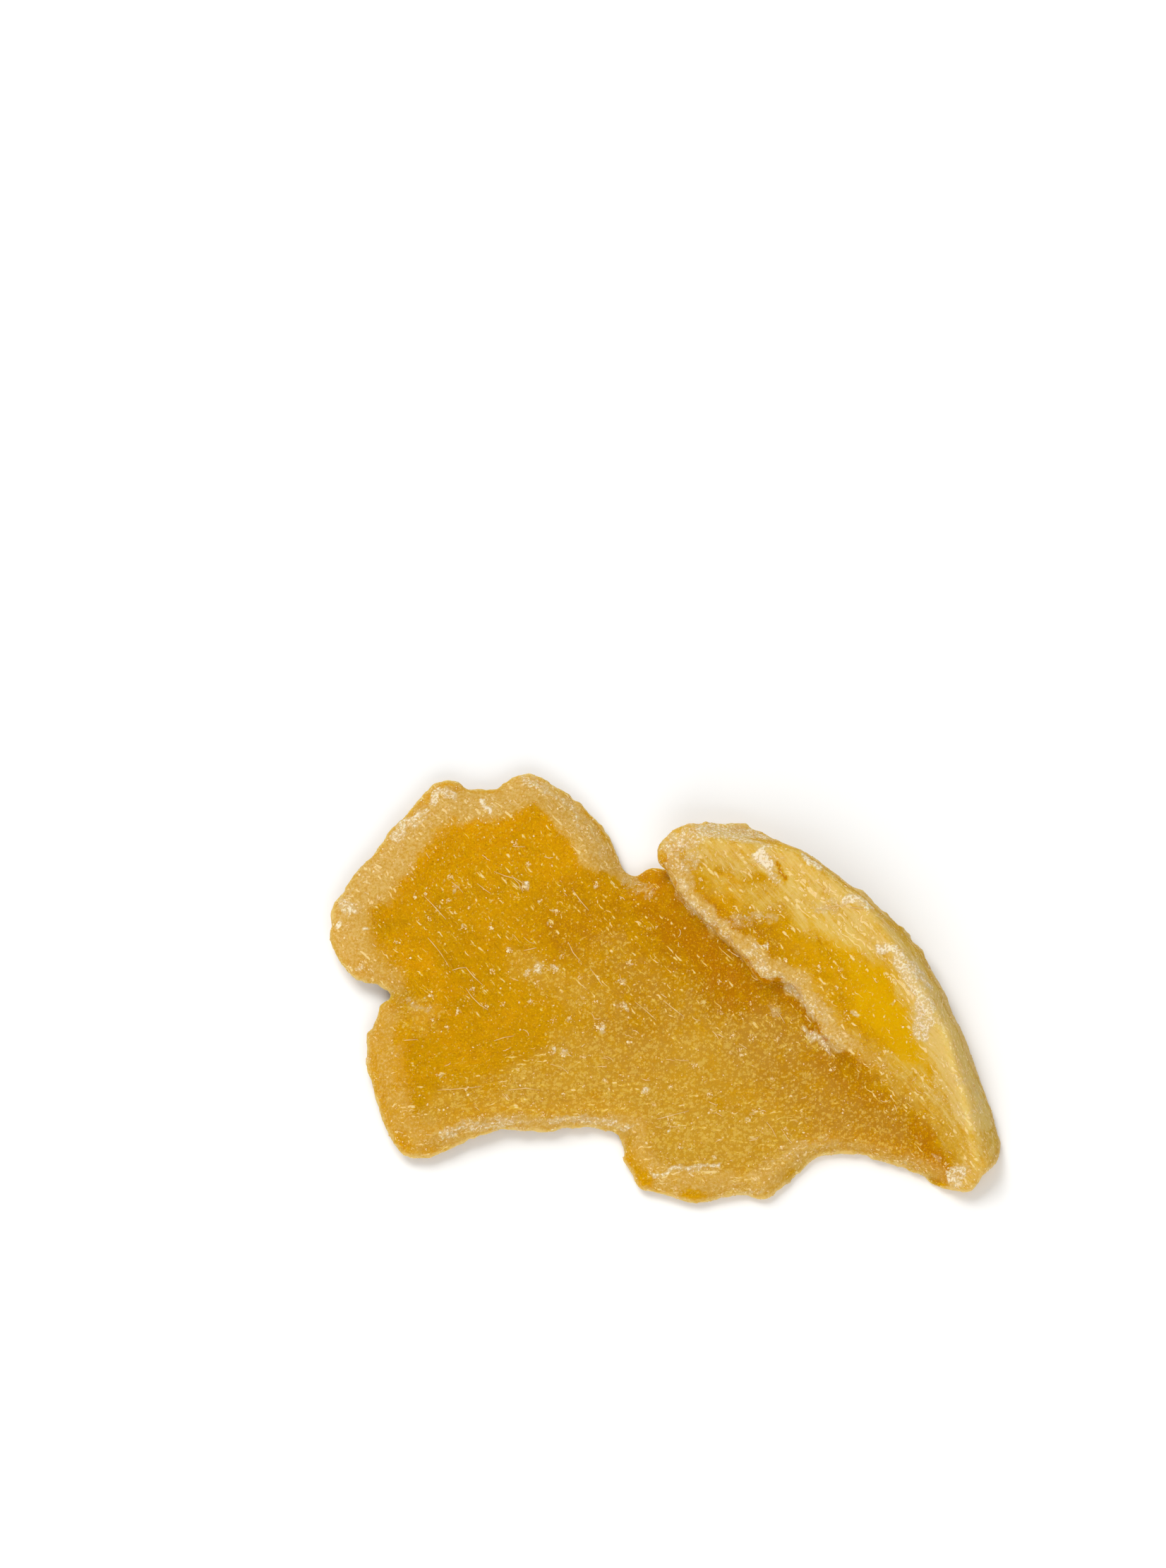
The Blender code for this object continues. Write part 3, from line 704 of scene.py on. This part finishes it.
sugar_heights = {0: cover, 1: SUGAR_HEIGHT, 2: pattern["powder"]}
heights = add(tree, "ShaderNodeMath", sugar_heights, operation="MULTIPLY_ADD").outputs[0]
streak_heights = {0: pattern["streaks"], 1: STREAK_HEIGHT, 2: heights}
heights = add(tree, "ShaderNodeMath", streak_heights, operation="MULTIPLY_ADD").outputs[0]
bump = add(tree, "ShaderNodeBump", {"Height": heights, "Distance": 0.12 * MM, "Strength": 0.8})
tree.links.new(bump.outputs[0], shader.inputs["Normal"])
rough = add(tree, "ShaderNodeMapRange", {"Value": cover, "To Min": 0.52, "To Max": 0.85})
tree.links.new(rough.outputs[0], shader.inputs["Roughness"])
scatter = add(tree, "ShaderNodeMapRange", {"Value": cover, "To Min": 0.80, "To Max": 0.25})
tree.links.new(scatter.outputs[0], shader.inputs["Subsurface Weight"])
shader.inputs["Subsurface Radius"].default_value = (1.0, 0.6, 0.15)
shader.inputs["Subsurface Scale"].default_value = 5.0 * MM
shader.inputs["IOR"].default_value = 1.48
shader.inputs["Specular IOR Level"].default_value = 0.02
ginger.data.materials.append(flesh)
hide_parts("ginger_slice")
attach(ginger, "root")
print("nodes in the flesh material:", len(tree.nodes))


# %% [markdown]
# The larger grains of sugar stand proud and catch the light, so they are real shapes. One grain is
# modelled: an icosphere, pushed out of true. It is copied some thousands of times, each copy with
# its own size, turn and squash, half sunk in the skin. They lie thick on the crusts and the rim,
# thin on the clear flesh, and some lie in small heaps.

# %% One grain
GRAIN_ROUGHNESS = 0.3

bpy.ops.object.select_all(action="DESELECT")
bpy.ops.mesh.primitive_ico_sphere_add(subdivisions=1, radius=1)
grain_object = bpy.context.active_object
bpy.ops.object.mode_set(mode="EDIT")
bpy.ops.mesh.select_all(action="SELECT")
bpy.ops.transform.vertex_random(offset=GRAIN_ROUGHNESS, seed=3)
bpy.ops.object.mode_set(mode="OBJECT")
grain_shape = np.array([vertex.co for vertex in grain_object.data.vertices])
grain_faces = np.array([face.vertices for face in grain_object.data.polygons])
bpy.data.objects.remove(grain_object)
print("faces on a grain:", len(grain_faces))

# %% Places for the grains
dice = np.random.default_rng(11)
ginger.data.calc_loop_triangles()
corners = np.empty(len(ginger.data.loop_triangles) * 3, dtype=np.int32)
ginger.data.loop_triangles.foreach_get("vertices", corners)
corners = corners.reshape(-1, 3)
sides = moved[corners[:, 1:]] - moved[corners[:, :1]]
areas = np.linalg.norm(np.cross(sides[:, 0], sides[:, 1]), axis=1) / 2
DUST_EVERYWHERE = 0.16
DUST_MORE = ((0.5, film), (0.5, frost), (0.4, rim), (1.6, crust), (0.1, at_edge))
BETWEEN_CLUMPS = 0.15
DUST_BELOW = 0.25  # the share of the dust that is left where the slice meets the table
thickness_of_dust = sum((share * mask for share, mask in DUST_MORE), DUST_EVERYWHERE)
clumps = ripple(places, 1.6 * MM, layer=18) + 0.6 * ripple(places, 0.7 * MM, layer=19)
clumps = ease(clumps, -0.25, 0.75)
dust = thickness_of_dust * (BETWEEN_CLUMPS + clumps) * (DUST_BELOW + (1 - DUST_BELOW) * above_table)


def scatter_spots(count, amount):
    """Random spots on the skin, more of them where amount is higher: their places and normals."""
    weights = areas * amount[corners].mean(axis=1)
    chosen = corners[dice.choice(len(corners), count, p=weights / weights.sum())]
    shares = dice.dirichlet((1, 1, 1), count)[:, :, None]
    spot_normals = (normals[chosen] * shares).sum(axis=1)
    return (moved[chosen] * shares).sum(axis=1), spot_normals


def unit(rows):
    """Each row brought to a length of 1."""
    return rows / np.linalg.norm(rows, axis=1, keepdims=True)


GRAINS = 6000
HEAPS = 130
HEAP_GRAINS = 16
HEAP_FROST, HEAP_RIM, HEAP_ANYWHERE = 0.6, 0.6, 0.2  # how often heaps lie there, against 1 on the film
spots, spot_normals = scatter_spots(GRAINS, dust)
heap_chance = (HEAP_ANYWHERE + film + HEAP_FROST * frost + HEAP_RIM * rim) * above_table
heap_spots, _ = scatter_spots(HEAPS, heap_chance)

# %% Heaps, laid back onto the skin
skin_faces = [tuple(face.vertices) for face in ginger.data.polygons]
skin_tree = BVHTree.FromPolygons(moved.tolist(), skin_faces)


def ray_to(pixel):
    """The place on the skin that a pixel of the photograph shows, and the normal there."""
    across, down = np.array(pixel) - (PHOTO_WIDTH / 2, PHOTO_HEIGHT / 2)
    direction = right * across * PIXEL - up * down * PIXEL - back * DISTANCE
    spot, normal, _, _ = skin_tree.ray_cast(Vector(eye), Vector(direction))
    return spot, normal


HEAP_LEAST, HEAP_MOST = 0.10, 0.30  # how wide the grains of a heap lie, in mm
SEEN_SPREAD = 0.35  # the same for the heaps that the photograph shows, in sizes of the heap
heap_reaches = dice.uniform(HEAP_LEAST, HEAP_MOST, HEAPS) * MM
heaps = list(zip(heap_spots, heap_reaches))
for across, down, size in HEAPS_SEEN:
    heaps.append((ray_to((across, down))[0], SEEN_SPREAD * size * PIXEL))
heaped, heaped_normals = [], []
for middle, reach in heaps:
    for step in dice.normal(0, reach, (HEAP_GRAINS, 3)):
        spot, spot_normal, _, _ = skin_tree.find_nearest(Vector(middle) + Vector(step))
        heaped.append(spot)
        heaped_normals.append(spot_normal)
spots = np.vstack([spots, np.array(heaped)])
spot_normals = unit(np.vstack([spot_normals, np.array(heaped_normals)]))

# %% Copy the grain to every spot
GRAIN_MIDDLE, GRAIN_SPREAD = 0.062, 0.50  # radius of a usual grain in mm, and how far sizes differ
GRAIN_LEAST, GRAIN_MOST = 0.03, 0.17
SQUASHES = ((0.8, 1.5), (0.6, 1.0), (0.45, 0.8))  # range of a grain's length, width and height
sizes = dice.lognormal(math.log(GRAIN_MIDDLE), GRAIN_SPREAD, len(spots))
sizes = np.clip(sizes, GRAIN_LEAST, GRAIN_MOST) * MM
squash = np.column_stack([dice.uniform(least, most, len(spots)) for least, most in SQUASHES])
first_side = unit(np.cross(spot_normals, dice.normal(0, 1, (len(spots), 3))))
second_side = np.cross(spot_normals, first_side)
axes = np.stack([first_side, second_side, spot_normals], axis=1)
local = grain_shape[None] * (squash * sizes[:, None])[:, None]
grain_places = spots[:, None] + np.einsum("nvk,nkd->nvd", local, axes)
grain_places[..., 2] = np.maximum(grain_places[..., 2], 0)
face_rows = grain_faces[None] + (np.arange(len(spots)) * len(grain_shape))[:, None, None]
grain_mesh = bpy.data.meshes.new("sugar_grains")
grain_mesh.from_pydata(grain_places.reshape(-1, 3).tolist(), [], face_rows.reshape(-1, 3).tolist())
tones = np.repeat(dice.uniform(0, 1, len(spots)), len(grain_shape)).astype(np.float32)
grain_mesh.attributes.new("tone", "FLOAT", "POINT").data.foreach_set("value", tones)
grains = bpy.data.objects.new("sugar_grains", grain_mesh)
bpy.context.scene.collection.objects.link(grains)
print("sugar grains:", len(spots), "triangles:", len(grain_mesh.polygons))

# %% Sugar material
sugar = bpy.data.materials.new("sugar bloom")
sugar.use_nodes = True
tree = sugar.node_tree
shader = tree.nodes["Principled BSDF"]
tone = add(tree, "ShaderNodeAttribute", attribute_name="tone").outputs["Fac"]
tones = {0: tone, 6: colour("#D8AC50"), 7: colour("#EEDAA8")}
grain_colour = add(tree, "ShaderNodeMix", tones, data_type="RGBA").outputs[2]
tree.links.new(grain_colour, shader.inputs["Base Color"])
shader.inputs["Roughness"].default_value = 0.6
shader.inputs["IOR"].default_value = 1.54
shader.inputs["Specular IOR Level"].default_value = 0.3
grains.data.materials.append(sugar)
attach(grains, "root")


# %% [markdown]
# Cutting pulls fibres out of the root, and they dry on the face as short pale threads. Each one is
# a thin curve that lies on the skin. The ones that the photograph shows are laid along its pixels,
# by a ray from the camera. The rest are strewn by a rule, along the run of the fibres, on the upper
# side and on the lower one where it stands off the table.

# %% Threads that the photograph shows
THREADS = (
    ((601, 1270), (612, 1281), (622, 1292), (632, 1303)),
    ((606, 1329), (614, 1338), (625, 1352), (636, 1370)),
    ((641, 1375), (650, 1372), (660, 1371)),
    ((660, 1371), (671, 1384), (684, 1396)),
    ((660, 1400), (668, 1412), (680, 1424), (691, 1431)),
    ((700, 1235), (715, 1241), (730, 1245)),
    ((728, 1245), (735, 1252), (741, 1265)),
    ((727, 1243), (740, 1251), (741, 1262)),
    ((640, 1250), (648, 1256), (656, 1265)),
    ((676, 1252), (686, 1260), (695, 1266)),
    ((742, 1328), (750, 1335), (757, 1337)),
    ((742, 1347), (752, 1345), (760, 1343)),
    ((805, 1335), (812, 1350), (822, 1362)),
    ((836, 1372), (845, 1384), (853, 1396)),
    ((812, 1262), (822, 1276), (834, 1290)),
    ((726, 1199), (736, 1200), (744, 1200)),
    ((771, 1214), (778, 1216), (784, 1215)),
    ((900, 1420), (915, 1432), (930, 1446)),
    ((940, 1418), (955, 1430), (968, 1440)),
    ((1030, 1345), (1040, 1352), (1048, 1356)),
    ((956, 1501), (966, 1503), (976, 1503)),
    ((780, 1508), (795, 1512), (806, 1521)),
    ((700, 1475), (715, 1470), (728, 1468)),
    ((556, 1478), (575, 1474), (592, 1473)),
    ((620, 1545), (650, 1543), (680, 1540)),
    ((720, 1545), (745, 1542), (765, 1545)),
    ((931, 1586), (950, 1581), (976, 1574)),
    ((1086, 1590), (1094, 1600), (1100, 1612)),
    ((1107, 1600), (1115, 1612), (1122, 1620)),
    ((1320, 1395), (1316, 1420), (1310, 1440)),
    ((1330, 1405), (1328, 1425), (1322, 1445)),
    ((1340, 1395), (1336, 1412), (1334, 1430)),
    ((1370, 1455), (1376, 1475), (1380, 1495)),
    ((1200, 1285), (1225, 1288), (1245, 1300)),
    ((1160, 1290), (1180, 1284), (1200, 1282)),
    ((1100, 1430), (1106, 1440), (1112, 1450)),
)

thread_runs = [[ray_to(pixel) for pixel in line] for line in THREADS]
thread_runs = [[hit for hit in run if hit[0]] for run in thread_runs]  # some rays may miss the slice
print("threads laid by the photograph:", len(thread_runs))

# %% Threads strewn along the fibres
STREWN = 190
STEP = 0.3 * MM
LEAST_STEPS, MOST_STEPS = 2, 5
ASTRAY, BEND = 0.35, 0.30  # how far a thread leaves the fibres' run, and bends at each step
THREAD_ANYWHERE, THREAD_FILM, THREAD_FROST = 0.35, 0.6, 0.3
thread_chance = (THREAD_ANYWHERE + THREAD_FILM * film + THREAD_FROST * frost) * above_table
starts, start_normals = scatter_spots(STREWN, thread_chance)
level_tree = KDTree(len(moved))
for index, spot in enumerate(moved):
    level_tree.insert(spot, index)
level_tree.balance()
for start, normal in zip(starts, start_normals):
    here = level[level_tree.find(start)[1]]
    heading = FIBRE_ANGLE * (1 - here) + LOW_FIBRE_ANGLE * here + dice.normal(0, ASTRAY)
    spot, run = Vector(start), []
    for _ in range(dice.integers(LEAST_STEPS, MOST_STEPS + 1)):
        run.append((spot, Vector(normal)))
        heading += dice.normal(0, BEND)
        ahead = spot + Vector((math.cos(heading), math.sin(heading), 0)) * STEP
        spot, normal, _, _ = skin_tree.find_nearest(ahead)
    thread_runs.append(run)

# %% Thin curves on the skin
THREAD_RADIUS = 0.045 * MM
THREAD_LIFT = 0.3  # how far a thread's middle stands off the skin, in radii
THREAD_THIN, THREAD_SWELL = 0.5, 0.7  # a thread is thin at its ends and swells in the middle
threads = bpy.data.curves.new("fibre_threads", "CURVE")
threads.dimensions = "3D"
threads.bevel_depth = THREAD_RADIUS
threads.bevel_resolution = 0
threads.use_fill_caps = True
for run in thread_runs:
    spline = threads.splines.new("POLY")
    spline.points.add(len(run) - 1)
    for index, (point, (spot, normal)) in enumerate(zip(spline.points, run)):
        point.co = (*(spot + normal * THREAD_LIFT * THREAD_RADIUS), 1)
        swell = THREAD_SWELL * math.sin(math.pi * (index + 0.5) / len(run))
        point.radius = THREAD_THIN + swell * dice.uniform(0.7, 1.3)
strands = bpy.data.objects.new("fibre_threads", threads)
bpy.context.scene.collection.objects.link(strands)
bpy.ops.object.select_all(action="DESELECT")
strands.select_set(True)
bpy.context.view_layer.objects.active = strands
bpy.ops.object.convert(target="MESH")
strands = bpy.context.active_object
bpy.ops.object.mode_set(mode="EDIT")
bpy.ops.mesh.select_all(action="SELECT")
bpy.ops.mesh.remove_doubles(threshold=MERGE_GAP)
bpy.ops.mesh.normals_make_consistent(inside=False)
bpy.ops.object.mode_set(mode="OBJECT")
print("threads:", len(thread_runs), "faces:", len(strands.data.polygons))

# %% Thread material
dry_fibre = bpy.data.materials.new("dried root fibre")
dry_fibre.use_nodes = True
tree = dry_fibre.node_tree
shader = tree.nodes["Principled BSDF"]
place = add(tree, "ShaderNodeTexCoord").outputs["Object"]
shades = add(tree, "ShaderNodeTexNoise", {"Vector": place, "Scale": 1 / (1.5 * MM)}).outputs[0]
shade_range = {"Value": shades, "From Min": 0.35, "From Max": 0.65}
shades = add(tree, "ShaderNodeMapRange", shade_range).outputs[0]
tones = {0: shades, 6: colour("#DAB464"), 7: colour("#ECD29A")}
thread_colour = add(tree, "ShaderNodeMix", tones, data_type="RGBA").outputs[2]
tree.links.new(thread_colour, shader.inputs["Base Color"])
shader.inputs["Roughness"].default_value = 0.7
shader.inputs["Specular IOR Level"].default_value = 0.3
strands.data.materials.clear()
strands.data.materials.append(dry_fibre)
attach(strands, "root")

# %% Finish
low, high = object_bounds()
sizes = {"cad": [list(cad_low), list(cad_high)], "visual": [list(low), list(high)]}
print("visual box in mm:", [round(side / MM, 1) for side in high - low])
